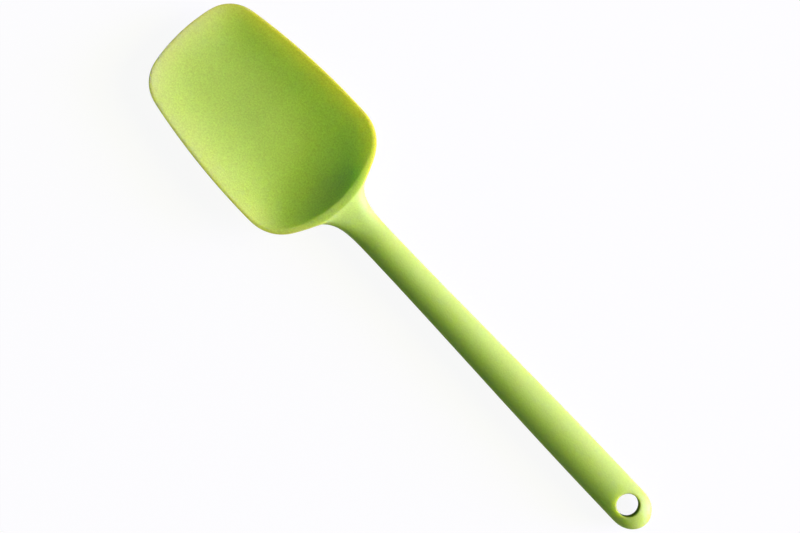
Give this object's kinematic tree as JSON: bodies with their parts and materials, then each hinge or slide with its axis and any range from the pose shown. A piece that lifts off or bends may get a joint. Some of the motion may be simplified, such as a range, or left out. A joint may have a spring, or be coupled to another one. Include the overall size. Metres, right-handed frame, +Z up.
{
  "type": "silicone spatula",
  "caption": "One-piece silicone spatula with a scoop-shaped head, flexible front lip, oval handle with hanging hole and hidden stiffening core.",
  "frame": {"origin": "on the table under the middle of the length, with the utensil lying bowl up on its belly and the underside of the handle's tail", "axes": "+X from the handle's tail to the head's front lip, +Y across the head, +Z up out of the bowl"},
  "size_m": [0.2798, 0.0656, 0.016],
  "materials": {
    "silicone": "matte lime green food-grade silicone, slightly translucent, with a very fine mould grain",
    "nylon": "glass-filled nylon in its natural pale grey, matte",
    "steel": "drawn stainless wire, fine lengthwise lines"
  },
  "bodies": {
    "root": {"silicone_body": "silicone", "nylon_core": "nylon", "steel_rod": "steel"}
  },
  "joints": []
}
